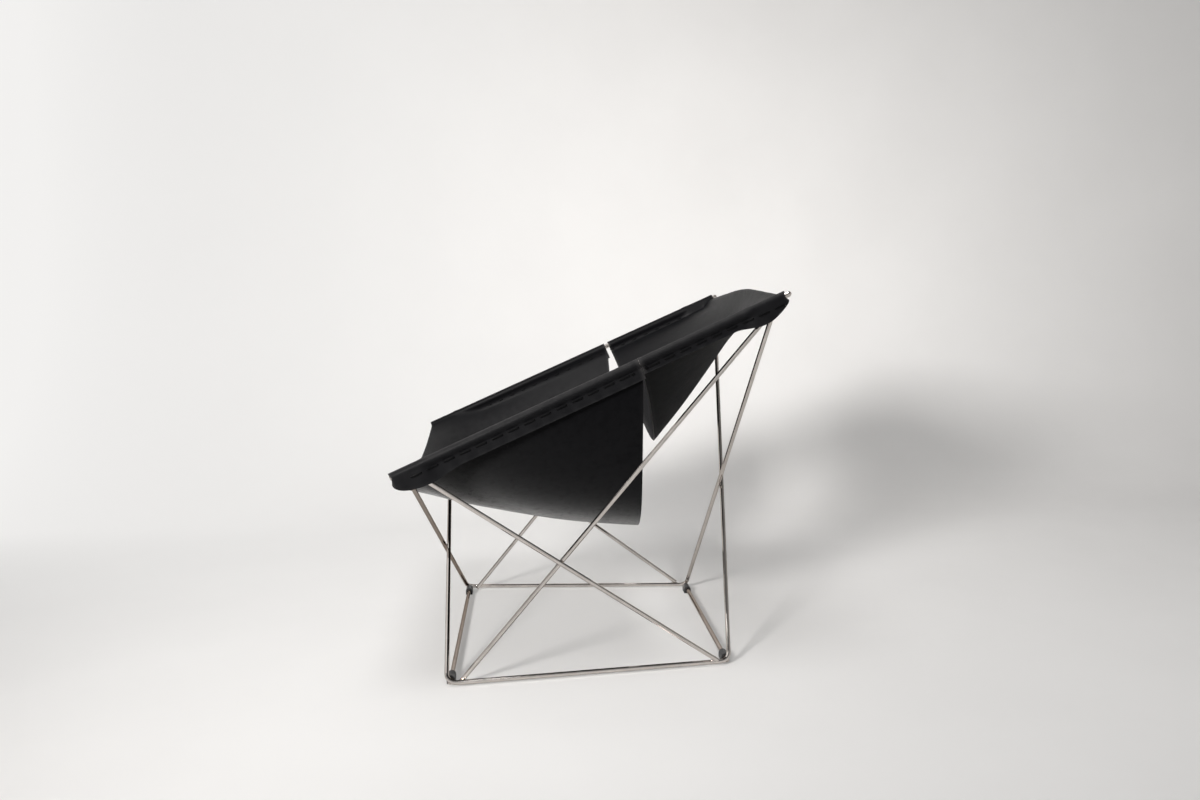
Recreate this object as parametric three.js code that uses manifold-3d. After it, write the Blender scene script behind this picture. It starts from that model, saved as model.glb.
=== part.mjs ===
// Leather sling lounge chair: a welded round-steel frame with two laced leather slings.
// Millimetres, +Z up, the front of the chair faces -Y, the sitter's left is +X.
import * as THREE from 'three';
import { mergeVertices } from 'three/addons/utils/BufferGeometryUtils.js';
import Module from 'manifold-3d';

const wasm = await Module();
wasm.setup();

// Steel frame
const ROD_DIAMETER = 8;
const RAIL_DIAMETER = 10;
const RAIL_CHAMFER = 0.8;
const BASE_FRONT_WIDTH = 610;
const BASE_REAR_WIDTH = 504;
const BASE_DEPTH = 500;
const BEND_RADIUS = 18;
const FRONT_BAR_INSET = 6;
const REAR_BAR_INSET = 3;
const RAIL_FRONT_WIDTH = 731;
const RAIL_REAR_WIDTH = 675;
const RAIL_FRONT_HEIGHT = 376.5;
const RAIL_REAR_HEIGHT = 664;
const RAIL_FRONT_OVERHANG = 74.5;
const RAIL_REAR_OVERHANG = 92;
const LEG_FRONT_INSET = 35;
const LEG_REAR_INSET = 21;
const LEG_DROP = 7.5;
const FRONT_CROSSING_SPREAD = 1.05;
const REAR_CROSSING_SPREAD = 1.17;
const BACK_BRACE_INSET = 10;
const BACK_BRACE_SETBACK = 12;
const BACK_BRACE_LEAN = 2;
const SEAT_BRACE_INSET = 33;
const SEAT_BRACE_SETBACK = 3;
const SEAT_BRACE_LEAN = 1;
const SEAT_BRACE_WELD_ANGLE = 39;
const BRACE_FOOT_INSET = 26;

// Plastic glides
const GLIDE_LENGTH = 27;
const GLIDE_WIDTH = 14.6;
const GLIDE_SOLE = 4;
const GLIDE_INSET = 31;

// Leather slings
const LEATHER = 3;
const SEAT_LENGTH = 442;
const SLING_GAP = 9;
const BACK_LENGTH = 265;
const SEAT_FLAP_DEPTH = 28;
const SEAT_TAB_DROP = 7;
const SEAT_TAB_LENGTH = 115;
const SEAT_TAB_CORNER = 28;
const SEAT_TAB_RISE = 15;
const BACK_FLAP_DEPTH = 20.5;
const BACK_TAB_DROP = 9.5;
const BACK_TAB_LENGTH = 100;
const BACK_TAB_CORNER = 50;
const BACK_TAB_RISE = 11.5;
const SEAT_OPEN_LENGTH = 51;
const BACK_OPEN_LENGTH = 57;
const OPEN_LEAVE_IN = 2.3;
const OPEN_LEAVE_DOWN = 0.3;
const CLOSING_LENGTH = 24;
const CLOSING_SLACK = 0.7;
const SEAM_GAP = 0.6;
const SEAM_PROUD = 0.1;
const SEAM_MARGIN = 0.7;
const SEAM_OVERLAP = 0.3;
const SEAM_FOOT = 2.4;
const SEAT_FRONT_DIP = 53.5;
const SEAT_REAR_DIP = 322;
const SEAT_BELLY = 16;
const SEAT_FRONT_LEAD = 8;
const SEAT_REAR_TRAIL = 20;
const SEAT_FRONT_FULLNESS = 3.1;
const SEAT_REAR_FULLNESS = 4;
const BACK_TIP_DROP = 177;
const BACK_TIP_TRAIL = 58;
const BACK_TOP_RISE = 15;
const BACK_TOP_TRAIL = 4;
const BACK_BELLY_TRAIL = 32;
const BACK_BELLY_RISE = 20;
const BACK_TIP_ROUNDNESS = 0.18;
const BACK_TOP_ROUNDNESS = 0.2;

// Lacing
const LACE_WIDTH = 3.4;
const LACE_THICKNESS = 1.6;
const LACE_PITCH = 28.7;
const LACE_DASH = 19;
const LACE_ROW_DROP = 7;
const LACE_TAIL = 5;
const LACE_EDGE = 6;
const LACE_SLIT = 4.6;
const LACE_TURN_ANGLE = 75;
const SLIT_FLARE = 0.1;
const SEAT_LACE_START = 32;
const BACK_LACE_START = 9;

// Space left between pieces that touch
const FIT_CLEARANCE = 0.3;

const STEEL = { color: 0xb6b0a6, roughness: 0.32, metalness: 1 };
const BLACK_LEATHER = { color: 0x1d1b1a, roughness: 0.55, metalness: 0 };
const LACE_LEATHER = { color: 0x2a2725, roughness: 0.45, metalness: 0 };
const BLACK_PLASTIC = { color: 0x131313, roughness: 0.6, metalness: 0 };

const ROUND_SIDES = 12;
const WRAP_SIDES = 6;
const MITRE_LIMIT = 0.7;
const rodRadius = ROD_DIAMETER / 2;
const railRadius = RAIL_DIAMETER / 2;
const rodSpacing = ROD_DIAMETER + FIT_CLEARANCE;
const rodHeight = GLIDE_SOLE + rodRadius;
const rowDepth = railRadius + LACE_ROW_DROP;
const wrapRadius = railRadius + FIT_CLEARANCE + LEATHER / 2;
const seamOffset = (SEAM_GAP + LEATHER) / 2;

const lerp = THREE.MathUtils.lerp;
const clamp = THREE.MathUtils.clamp;
const vec = (x, y, z) => new THREE.Vector3(x, y, z);
const mix = (from, to, t) => from.clone().lerp(to, t);

// Closed triangle geometry to a solid and back
function solid(geometry) {
  geometry.deleteAttribute('normal');
  geometry.deleteAttribute('uv');
  const merged = mergeVertices(geometry, 1e-4);
  const triVerts = [];
  for (let i = 0; i < merged.index.count; i += 3) {
    const [a, b, c] = [0, 1, 2].map((k) => merged.index.getX(i + k));
    if (a !== b && b !== c && c !== a) triVerts.push(a, b, c);
  }
  return new wasm.Manifold(new wasm.Mesh({
    numProp: 3,
    vertProperties: new Float32Array(merged.attributes.position.array),
    triVerts: new Uint32Array(triVerts),
  }));
}

function geometryOf(body) {
  const mesh = body.getMesh();
  const geometry = new THREE.BufferGeometry();
  geometry.setAttribute('position', new THREE.BufferAttribute(new Float32Array(mesh.vertProperties), 3));
  geometry.setIndex(Array.from(mesh.triVerts));
  geometry.computeVertexNormals();
  return geometry;
}

// A turned solid: [radius, distance] pairs along the line between two points
function turned(profile, from, to) {
  const points = profile.map(([radius, distance]) => new THREE.Vector2(radius, distance));
  const geometry = new THREE.LatheGeometry(points, ROUND_SIDES);
  const direction = to.clone().sub(from).normalize();
  geometry.applyQuaternion(new THREE.Quaternion().setFromUnitVectors(vec(0, 1, 0), direction));
  geometry.translate(from.x, from.y, from.z);
  return solid(geometry);
}

function straightRod(from, to, radius) {
  const length = from.distanceTo(to);
  return turned([[0, 0], [radius, 0], [radius, length], [0, length]], from, to);
}

// A path that visits listed stations only, each with its own direction
class StationPath extends THREE.Curve {
  constructor(stations) {
    super();
    this.stations = stations;
  }

  station(u) {
    return this.stations[Math.round(u * (this.stations.length - 1))];
  }

  getPointAt(u, target = new THREE.Vector3()) {
    return target.copy(this.station(u).point);
  }

  getTangentAt(u, target = new THREE.Vector3()) {
    return target.copy(this.station(u).direction);
  }
}

function swept(outline, stations) {
  return solid(new THREE.ExtrudeGeometry(new THREE.Shape(outline), {
    extrudePath: new StationPath(stations),
    steps: stations.length - 1,
    bevelEnabled: false,
  }));
}

function roundOutline(radius) {
  return Array.from({ length: ROUND_SIDES }, (_, i) => {
    const angle = (2 * Math.PI * i) / ROUND_SIDES;
    return new THREE.Vector2(radius * Math.cos(angle), radius * Math.sin(angle));
  });
}

// Stations of a rounded corner between two straight runs
function bendStations(before, corner, after, radius, count) {
  const incoming = corner.clone().sub(before).normalize();
  const outgoing = after.clone().sub(corner).normalize();
  const turn = incoming.angleTo(outgoing);
  const axis = incoming.clone().cross(outgoing).normalize();
  const start = corner.clone().addScaledVector(incoming, -radius * Math.tan(turn / 2));
  const centre = start.clone().addScaledVector(axis.clone().cross(incoming), radius);
  return Array.from({ length: count + 1 }, (_, i) => {
    const angle = (turn * i) / count;
    return {
      point: start.clone().sub(centre).applyAxisAngle(axis, angle).add(centre),
      direction: incoming.clone().applyAxisAngle(axis, angle),
    };
  });
}

// Frame layout: a side is +1 for the sitter's left and -1 for the right
const railFront = (side) => vec(
  (side * RAIL_FRONT_WIDTH) / 2,
  -BASE_DEPTH / 2 - RAIL_FRONT_OVERHANG,
  RAIL_FRONT_HEIGHT,
);
const railRear = (side) => vec(
  (side * RAIL_REAR_WIDTH) / 2,
  BASE_DEPTH / 2 + RAIL_REAR_OVERHANG,
  RAIL_REAR_HEIGHT,
);
const railLength = railFront(1).distanceTo(railRear(1));
const baseFront = (side) => vec((side * BASE_FRONT_WIDTH) / 2, -BASE_DEPTH / 2, rodHeight);
const baseRear = (side) => vec((side * BASE_REAR_WIDTH) / 2, BASE_DEPTH / 2, rodHeight);

const railRun = railRear(1).sub(railFront(1)).normalize();
const railDown = vec(0, railRun.z, -railRun.y).normalize();

// A point beside a rail: distance from its front end, then inward, then down square to the rail
function beside(side, along, inward = 0, down = 0) {
  const point = mix(railFront(side), railRear(side), along / railLength);
  point.x -= side * inward;
  return point.addScaledVector(railDown, down);
}

// Crossing legs lie side by side, so their upper ends are set apart along the rails
const stagger = (spread, railWidth, baseWidth) => {
  return (spread * rodSpacing * (railWidth + baseWidth)) / baseWidth / 2;
};
const frontStagger = stagger(FRONT_CROSSING_SPREAD, RAIL_FRONT_WIDTH, BASE_FRONT_WIDTH);
const rearStagger = stagger(REAR_CROSSING_SPREAD, RAIL_REAR_WIDTH, BASE_REAR_WIDTH);
const frontLegTop = (side) => beside(-side, LEG_FRONT_INSET + side * frontStagger, 0, LEG_DROP);
const rearLegTop = (side) => {
  return beside(-side, railLength - LEG_REAR_INSET + side * rearStagger, 0, LEG_DROP);
};

// Each base rod: one leg up to the far rail, the floor run, the other leg up to the far rail
function baseRod(side, radius, past = 0) {
  const [front, rear] = [baseFront(side), baseRear(side)];
  const [frontTop, rearTop] = [frontLegTop(side), rearLegTop(side)];
  const [down, up] = [front.clone().sub(frontTop).normalize(), rearTop.clone().sub(rear).normalize()];
  const stations = [
    { point: frontTop.clone().addScaledVector(down, -past), direction: down },
    ...bendStations(frontTop, front, rear, BEND_RADIUS, 6),
    ...bendStations(front, rear, rearTop, BEND_RADIUS, 6),
    { point: rearTop.clone().addScaledVector(up, past), direction: up },
  ];
  return swept(roundOutline(radius), stations);
}

function rail(side) {
  const [r, length] = [railRadius, railLength];
  const profile = [
    [0, 0], [r - RAIL_CHAMFER, 0], [r, RAIL_CHAMFER], [r, length - r],
    [r * 0.87, length - r * 0.5], [r * 0.5, length - r * 0.13], [0, length],
  ];
  return turned(profile, railFront(side), railRear(side));
}

const sides = [1, -1];
const grown = (radius) => radius + FIT_CLEARANCE;
const railSpace = new Map(sides.map((side) => {
  return [side, straightRod(beside(side, -20), beside(side, railLength + 20), grown(railRadius))];
}));
const baseSpace = (past) => {
  const [left, right] = sides.map((side) => baseRod(side, grown(rodRadius), past));
  return left.add(right);
};
const bothRails = railSpace.get(1).add(railSpace.get(-1));
const bothBases = baseSpace(FIT_CLEARANCE);
const longBases = baseSpace(ROD_DIAMETER);

const floorSide = (side) => {
  const run = baseRear(side).sub(baseFront(side)).normalize();
  return vec(side * Math.abs(run.y), -side * run.x, 0).normalize();
};

// Distance along a line from its start to where it passes closest to another line
function reach(start, direction, other, otherDirection) {
  const normal = direction.clone().cross(otherDirection);
  return other.clone().sub(start).cross(otherDirection).dot(normal) / normal.lengthSq();
}

// The back brace points at the rail's rear end and stops under it, or at the leg that it meets first
function backBraceEnds(side) {
  const run = baseRear(side).sub(baseFront(side)).normalize();
  const foot = baseFront(side).addScaledVector(run, BRACE_FOOT_INSET);
  foot.addScaledVector(floorSide(side), -rodSpacing);
  const aim = beside(side, railLength - BACK_BRACE_INSET, BACK_BRACE_LEAN);
  const up = aim.clone().sub(foot).normalize();
  const legTop = rearLegTop(-side);
  const legUp = legTop.clone().sub(baseRear(-side)).normalize();
  const length = Math.min(foot.distanceTo(aim) - BACK_BRACE_SETBACK, reach(foot, up, legTop, legUp));
  const top = foot.clone().addScaledVector(up, length);
  return [foot.addScaledVector(up, -rodRadius), top];
}

function seatBraceEnds(side) {
  const run = baseFront(side).sub(baseRear(side)).normalize();
  const angle = THREE.MathUtils.degToRad(SEAT_BRACE_WELD_ANGLE);
  const foot = baseRear(side).addScaledVector(run, BRACE_FOOT_INSET);
  foot.addScaledVector(floorSide(side), rodSpacing * Math.sin(angle));
  foot.z += rodSpacing * Math.cos(angle);
  const aim = beside(side, SEAT_BRACE_INSET, -SEAT_BRACE_LEAN);
  const up = aim.clone().sub(foot).normalize();
  return [foot.addScaledVector(up, -rodRadius), aim.addScaledVector(up, -SEAT_BRACE_SETBACK)];
}

function brace(ends) {
  const [foot, top] = ends;
  return straightRod(foot, top, rodRadius).subtract(bothRails).subtract(longBases);
}

const braceSpace = sides.flatMap((side) => [backBraceEnds(side), seatBraceEnds(side)])
  .map(([foot, top]) => straightRod(foot, top, grown(rodRadius)))
  .reduce((sum, space) => sum.add(space));

const barY = { front: -BASE_DEPTH / 2 + FRONT_BAR_INSET, rear: BASE_DEPTH / 2 - REAR_BAR_INSET };
const barHalf = { front: BASE_FRONT_WIDTH / 2, rear: BASE_REAR_WIDTH / 2 };

function floorBar(end) {
  const reach = barHalf[end] - rodSpacing / 2;
  const [left, right] = [vec(-reach, barY[end], rodHeight), vec(reach, barY[end], rodHeight)];
  return straightRod(left, right, rodRadius).subtract(bothBases);
}

// A saddle-shaped glide with a flat sole and a bore for the floor bar
function glide(end, side) {
  const half = GLIDE_WIDTH / 2;
  const shape = new THREE.Shape();
  shape.moveTo(-half, -rodHeight);
  shape.lineTo(half, -rodHeight);
  shape.absarc(0, 0, half, 0, Math.PI, false);
  shape.closePath();
  shape.holes.push(new THREE.Path(roundOutline(grown(rodRadius)).reverse()));
  const geometry = new THREE.ExtrudeGeometry(shape, {
    depth: GLIDE_LENGTH,
    steps: 1,
    curveSegments: 6,
    bevelEnabled: false,
  });
  geometry.rotateX(Math.PI / 2);
  geometry.rotateZ(Math.PI / 2);
  const middle = side * (barHalf[end] - GLIDE_INSET);
  geometry.translate(middle - GLIDE_LENGTH / 2, barY[end], rodHeight);
  return solid(geometry).subtract(bothBases);
}

// Leather slings: e is the distance from a sling's outer end, where its tabs cover the frame joints
const seat = {
  length: SEAT_LENGTH,
  open: SEAT_OPEN_LENGTH,
  along: (e) => e,
  depth: (e) => e / SEAT_LENGTH,
  stops: 2,
  laceStart: SEAT_LACE_START,
  flap: SEAT_FLAP_DEPTH,
  tab: { drop: SEAT_TAB_DROP, length: SEAT_TAB_LENGTH, corner: SEAT_TAB_CORNER, rise: SEAT_TAB_RISE },
};
const backStart = SEAT_LENGTH + SLING_GAP;
const back = {
  length: BACK_LENGTH,
  open: BACK_OPEN_LENGTH,
  along: (e) => backStart + BACK_LENGTH - e,
  depth: (e) => 1 - e / BACK_LENGTH,
  stops: 2,
  laceStart: BACK_LACE_START,
  flap: BACK_FLAP_DEPTH,
  tab: { drop: BACK_TAB_DROP, length: BACK_TAB_LENGTH, corner: BACK_TAB_CORNER, rise: BACK_TAB_RISE },
};

// Trough line of each sling, as an offset from the rails at the same place along the chair
seat.trough = (v) => [
  lerp(-SEAT_FRONT_LEAD, SEAT_REAR_TRAIL, v),
  -lerp(SEAT_FRONT_DIP, SEAT_REAR_DIP, v) - 4 * SEAT_BELLY * v * (1 - v),
];
back.trough = (v) => [
  lerp(BACK_TIP_TRAIL, BACK_TOP_TRAIL, v) + 4 * BACK_BELLY_TRAIL * v * (1 - v),
  lerp(-BACK_TIP_DROP, BACK_TOP_RISE, v) + 4 * BACK_BELLY_RISE * v * (1 - v),
];

// How far the sheet has dropped towards the trough: 0 at the rail, 1 in the middle
seat.sag = (v, w) => 1 - (1 - w) ** lerp(SEAT_FRONT_FULLNESS, SEAT_REAR_FULLNESS, v);
seat.across = [0.06, 0.18, 0.35, 0.6, 1];
back.sag = (v, w) => {
  const k = lerp(BACK_TIP_ROUNDNESS, BACK_TOP_ROUNDNESS, v);
  return 1 - (Math.hypot(k, 1 - w) - k) / (Math.hypot(k, 1) - k);
};
back.across = [0.2, 0.45, 0.68, 0.86, 1];

// The sleeve is open over the frame joints and closes to a double seam: 0 open, 1 closed
const closed = (sling, e) => clamp((e - sling.open) / CLOSING_LENGTH, 0, 1);
const flapInset = (sling, e) => lerp(wrapRadius, seamOffset, closed(sling, e));

// The flap hangs deeper in a rounded tab over the frame joints
function flapDepth(sling, e) {
  const { drop, length, corner, rise } = sling.tab;
  const bump = e < length ? Math.sin((Math.PI * e) / length) ** 1.5 : 0;
  const cut = Math.max(0, 1 - e / corner);
  return sling.flap + drop * bump - rise * (1 - Math.sqrt(1 - cut * cut));
}

// Middle of the leather on one side, from the edge of the hanging flap to the trough
function halfSection(sling, side, e) {
  const shut = closed(sling, e);
  const v = sling.depth(e);
  const along = sling.along(e);
  const flapIn = flapInset(sling, e);
  const meet = wrapRadius * Math.SQRT2 - seamOffset;
  const flat = [[-flapIn, flapDepth(sling, e)], [-flapIn, meet]];
  const first = Math.PI * (1 + shut / 4);
  const last = lerp(Math.PI / 6, -Math.PI / 4, shut);
  const wrap = wrapRadius * (1 + CLOSING_SLACK * shut * (1 - shut));
  const radius = wrap / Math.cos((first - last) / WRAP_SIDES / 2);
  for (let i = 0; i <= WRAP_SIDES; i += 1) {
    const angle = lerp(first, last, i / WRAP_SIDES);
    flat.push([radius * Math.cos(angle), -radius * Math.sin(angle)]);
  }
  const tangent = lerp(OPEN_LEAVE_IN, (meet - wrapRadius * Math.SQRT1_2) * Math.SQRT2, shut);
  flat.push([
    wrap * Math.cos(last) + tangent * Math.sin(last),
    -wrap * Math.sin(last) + tangent * Math.cos(last),
  ]);
  const turn = rowDepth + LACE_WIDTH / 2 + SEAM_FOOT;
  const leave = [wrapRadius + OPEN_LEAVE_IN, OPEN_LEAVE_DOWN];
  flat.push([lerp(leave[0], seamOffset, shut), lerp(leave[1], turn, shut)]);
  const points = flat.map(([inward, down]) => beside(side, along, inward, down));
  const [startIn, startDown] = flat[flat.length - 1];
  const [dropY, dropZ] = sling.trough(v);
  const rail = beside(side, along);
  for (const w of sling.across) {
    const h = sling.sag(v, w);
    const point = rail.clone().addScaledVector(railDown, startDown * (1 - h));
    point.x = (rail.x - side * startIn) * (1 - w);
    point.y += dropY * h;
    point.z += dropZ * h;
    points.push(point);
  }
  return points;
}

function slingStations(sling) {
  const shut = sling.open + CLOSING_LENGTH;
  const stations = [0, 1 / 4, 1 / 2, 1].map((t) => t * sling.open);
  stations.push(sling.open + CLOSING_LENGTH / 2);
  for (let i = 0; i <= sling.stops; i += 1) {
    stations.push(lerp(shut, sling.length, i / sling.stops));
  }
  return stations;
}

// Sheet of even thickness about a grid of middle points
function sheet(rows, thickness) {
  const [high, wide] = [rows.length, rows[0].length];
  const faces = [[], []];
  rows.forEach((row, j) => {
    row.forEach((point, i) => {
      const ahead = rows[Math.min(j + 1, high - 1)][i].clone().sub(rows[Math.max(j - 1, 0)][i]);
      const normals = [i - 1, i].filter((k) => k >= 0 && k < wide - 1).map((k) => {
        return row[k + 1].clone().sub(row[k]).cross(ahead).normalize();
      });
      const middle = normals[0].clone().add(normals[normals.length - 1]).normalize();
      const offset = thickness / 2 / Math.max(MITRE_LIMIT, middle.dot(normals[0]));
      faces[0].push(point.clone().addScaledVector(middle, offset));
      faces[1].push(point.clone().addScaledVector(middle, -offset));
    });
  });
  const index = [];
  const layer = high * wide;
  const quad = (a, b, c, d) => index.push(a, b, c, a, c, d);
  for (let j = 0; j < high - 1; j += 1) {
    for (let i = 0; i < wide - 1; i += 1) {
      const a = j * wide + i;
      quad(a, a + 1, a + 1 + wide, a + wide);
      quad(layer + a, layer + a + wide, layer + a + 1 + wide, layer + a + 1);
    }
  }
  const edge = [];
  for (let i = 0; i < wide - 1; i += 1) edge.push(i);
  for (let j = 0; j < high - 1; j += 1) edge.push(j * wide + wide - 1);
  for (let i = wide - 1; i > 0; i -= 1) edge.push((high - 1) * wide + i);
  for (let j = high - 1; j > 0; j -= 1) edge.push(j * wide);
  edge.forEach((a, k) => {
    const b = edge[(k + 1) % edge.length];
    quad(b, a, layer + a, layer + b);
  });
  const geometry = new THREE.BufferGeometry();
  geometry.setFromPoints(faces.flat());
  geometry.setIndex(index);
  return solid(geometry);
}

// Puts a geometry drawn as (along, down, inward) beside a rail, square to it
function atRail(geometry, side, along, inward, down) {
  const run = railRear(side).sub(railFront(side)).normalize();
  const across = run.clone().cross(railDown).normalize();
  geometry.applyMatrix4(new THREE.Matrix4().makeBasis(run, railDown, across));
  const centre = beside(side, along, inward, down);
  geometry.translate(centre.x, centre.y, centre.z);
  return solid(geometry);
}

// Places of the lace slits, as distances from the sling's outer end
function slitPlaces(sling) {
  const room = sling.length - LACE_EDGE - sling.laceStart - LACE_DASH;
  return Array.from({ length: Math.floor(room / LACE_PITCH) + 1 }, (_, i) => {
    const start = sling.laceStart + i * LACE_PITCH;
    return [start, start + LACE_DASH];
  }).flat();
}

const slitHeight = LACE_WIDTH + 2 * FIT_CLEARANCE;
const isShut = (sling, e) => closed(sling, e) === 1;

// The double seam of a closed sleeve: a plate through both layers with its slits left open
function seamPlate(sling, side) {
  const places = slitPlaces(sling).filter((e) => isShut(sling, e));
  const [from, to] = [places[0] - LACE_SLIT, places[places.length - 1] + LACE_SLIT];
  const middle = sling.along((from + to) / 2);
  const [x, y] = [(to - from) / 2, slitHeight / 2 + SEAM_MARGIN];
  const corners = (cx, hx, hy, flare) => {
    const outline = [[-hx, -hy], [hx, -hy - flare], [hx, hy + flare], [-hx, hy]];
    return outline.map(([u, w]) => new THREE.Vector2(cx + u, w));
  };
  const shape = new THREE.Shape(corners(0, x, y, 0));
  for (const e of places) {
    const hole = corners(sling.along(e) - middle, LACE_SLIT / 2, slitHeight / 2, SLIT_FLARE);
    shape.holes.push(new THREE.Path(hole.reverse()));
  }
  const depth = 2 * (LEATHER + SEAM_PROUD) + SEAM_GAP;
  const plate = new THREE.ExtrudeGeometry(shape, { depth, steps: 1, bevelEnabled: false });
  plate.translate(0, 0, -depth / 2);
  const lap = 2 * SEAM_OVERLAP;
  const cut = new THREE.BoxGeometry(2 * x - lap, 2 * y - lap, 2 * depth);
  return {
    plate: atRail(plate, side, middle, 0, rowDepth),
    cut: atRail(cut, side, middle, 0, rowDepth),
  };
}

function flapSlit(sling, side, e) {
  const box = new THREE.BoxGeometry(LACE_SLIT, slitHeight, 2 * LEATHER);
  return atRail(box, side, sling.along(e), -flapInset(sling, e), rowDepth);
}

function leather(sling) {
  const rows = slingStations(sling).map((e) => {
    const left = halfSection(sling, 1, e);
    const right = halfSection(sling, -1, e).reverse();
    return [...left, ...right.slice(1)];
  });
  let body = sheet(rows, LEATHER);
  for (const side of sides) {
    const seam = seamPlate(sling, side);
    body = body.subtract(seam.cut).add(seam.plate);
    for (const e of slitPlaces(sling).filter((place) => !isShut(sling, place))) {
      body = body.subtract(flapSlit(sling, side, e));
    }
  }
  return body.subtract(bothBases).subtract(braceSpace);
}

// One flat lace in running stitch: outside the flap for each dash, behind the leather between dashes
function lace(sling, side) {
  const half = LEATHER / 2 + SEAM_PROUD + FIT_CLEARANCE + LACE_THICKNESS / 2;
  const outer = (e) => -flapInset(sling, e) - half;
  const inner = (e) => (isShut(sling, e) ? seamOffset + half : half - flapInset(sling, e));
  const slope = Math.tan(THREE.MathUtils.degToRad(LACE_TURN_ANGLE));
  const bends = [0, 0.5, 1].map((t) => sling.open + t * CLOSING_LENGTH);
  const places = slitPlaces(sling);
  const corners = [];
  places.forEach((e, i) => {
    const slant = (inner(e) - outer(e)) / slope / 2;
    const [before, after] = i % 2 === 0 ? [inner, outer] : [outer, inner];
    corners.push([e - slant, before(e)], [e + slant, after(e)]);
    const between = bends.filter((bend) => bend > e + LACE_WIDTH && bend < places[i + 1] - LACE_WIDTH);
    corners.push(...between.map((bend) => [bend, after(bend)]));
  });
  const [first, last] = [corners[0], corners[corners.length - 1]];
  corners.unshift([first[0] - LACE_TAIL, first[1]]);
  corners.push([last[0] + LACE_TAIL, last[1]]);
  const points = corners.map(([e, inward]) => beside(side, sling.along(e), inward, rowDepth));
  const stations = points.map((point, i) => {
    const into = point.clone().sub(points[Math.max(i - 1, 0)]).normalize();
    const out = points[Math.min(i + 1, points.length - 1)].clone().sub(point).normalize();
    return { point, direction: into.add(out).normalize() };
  });
  const [x, y] = [LACE_THICKNESS / 2, LACE_WIDTH / 2];
  const outline = [[-x, -y], [x, -y], [x, y], [-x, y]].map((pair) => new THREE.Vector2(...pair));
  return swept(outline, stations);
}

// Assembly
const chair = new THREE.Group();
chair.name = 'sling_lounge_chair';

function place(name, body, finish) {
  const mesh = new THREE.Mesh(geometryOf(body), new THREE.MeshStandardMaterial(finish));
  mesh.name = name;
  chair.add(mesh);
}

for (const side of sides) {
  const hand = side > 0 ? 'left' : 'right';
  place(`${hand}_base_rod`, baseRod(side, rodRadius).subtract(bothRails), STEEL);
  place(`${hand}_rail`, rail(side), STEEL);
  place(`${hand}_back_brace`, brace(backBraceEnds(side)), STEEL);
  place(`${hand}_seat_brace`, brace(seatBraceEnds(side)), STEEL);
  place(`front_${hand}_glide`, glide('front', side), BLACK_PLASTIC);
  place(`rear_${hand}_glide`, glide('rear', side), BLACK_PLASTIC);
  place(`seat_${hand}_lace`, lace(seat, side), LACE_LEATHER);
  place(`back_${hand}_lace`, lace(back, side), LACE_LEATHER);
}
place('front_floor_bar', floorBar('front'), STEEL);
place('rear_floor_bar', floorBar('rear'), STEEL);
place('seat_sling', leather(seat), BLACK_LEATHER);
place('back_sling', leather(back), BLACK_LEATHER);

const middle = new THREE.Box3().setFromObject(chair).getCenter(new THREE.Vector3());
chair.children.forEach((mesh) => mesh.geometry.translate(0, -middle.y, 0));

export default chair;
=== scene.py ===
import math
import bmesh
import bpy
from mathutils import Matrix, Vector, noise


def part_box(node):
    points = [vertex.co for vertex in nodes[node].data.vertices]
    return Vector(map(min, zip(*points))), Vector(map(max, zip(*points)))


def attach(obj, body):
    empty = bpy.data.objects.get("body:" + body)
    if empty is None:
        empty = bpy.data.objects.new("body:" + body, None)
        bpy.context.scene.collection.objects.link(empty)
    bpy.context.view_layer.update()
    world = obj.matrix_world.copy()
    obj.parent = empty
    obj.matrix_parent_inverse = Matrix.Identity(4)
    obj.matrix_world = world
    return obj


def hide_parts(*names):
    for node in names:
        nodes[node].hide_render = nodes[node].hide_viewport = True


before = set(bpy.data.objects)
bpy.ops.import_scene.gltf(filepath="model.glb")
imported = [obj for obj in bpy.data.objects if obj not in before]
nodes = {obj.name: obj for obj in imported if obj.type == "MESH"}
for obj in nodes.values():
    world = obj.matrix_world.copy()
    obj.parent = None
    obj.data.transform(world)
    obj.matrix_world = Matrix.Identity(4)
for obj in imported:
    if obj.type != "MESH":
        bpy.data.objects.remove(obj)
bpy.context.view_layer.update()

# Sizes repeated from the part's source
ROD_RADIUS = 0.004
RAIL_RADIUS = 0.005
BASE_FRONT_HALF = 0.305
BASE_REAR_HALF = 0.252
BASE_DEPTH = 0.500
FRONT_BAR_INSET = 0.006
REAR_BAR_INSET = 0.003
ROD_HEIGHT = 0.008
BRACE_FOOT_INSET = 0.026
SEAT_BRACE_WELD_ANGLE = math.radians(39)
LEATHER = 0.003
SEAT_LENGTH = 0.442
BACK_START = 0.451
BACK_LENGTH = 0.265
CLOSING_LENGTH = 0.024
CLEARANCE = 0.0003
WRAP_RADIUS = RAIL_RADIUS + CLEARANCE + LEATHER / 2
SEAM_OFFSET = 0.0018
LACE_ROW = 0.012
LACE_PITCH = 0.0287
LACE_DASH = 0.019
LACE_WIDTH = 0.0034
LACE_THICKNESS = 0.0016

bar_low, bar_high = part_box("front_floor_bar")
shift_y = (bar_low[1] + bar_high[1]) / 2 + BASE_DEPTH / 2 - FRONT_BAR_INSET
RAIL_FRONT = Vector((0.3655, -0.3245 + shift_y, 0.3765))
RAIL_REAR = Vector((0.3375, 0.342 + shift_y, 0.664))
RAIL_LENGTH = (RAIL_REAR - RAIL_FRONT).length
RAIL_RUN = (RAIL_REAR - RAIL_FRONT).normalized()
RAIL_DOWN = Vector((0, RAIL_RUN.z, -RAIL_RUN.y)).normalized()
UP = Vector((0, 0, 1))
SIDES = ((1, "left"), (-1, "right"))

# Tolerances for loops over lengths and for joining points
ROUNDING = 1e-6
SAME_POINT = 1e-7
SHORTEST = 1e-12


def lerp(a, b, t):
    return a + (b - a) * t


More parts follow.
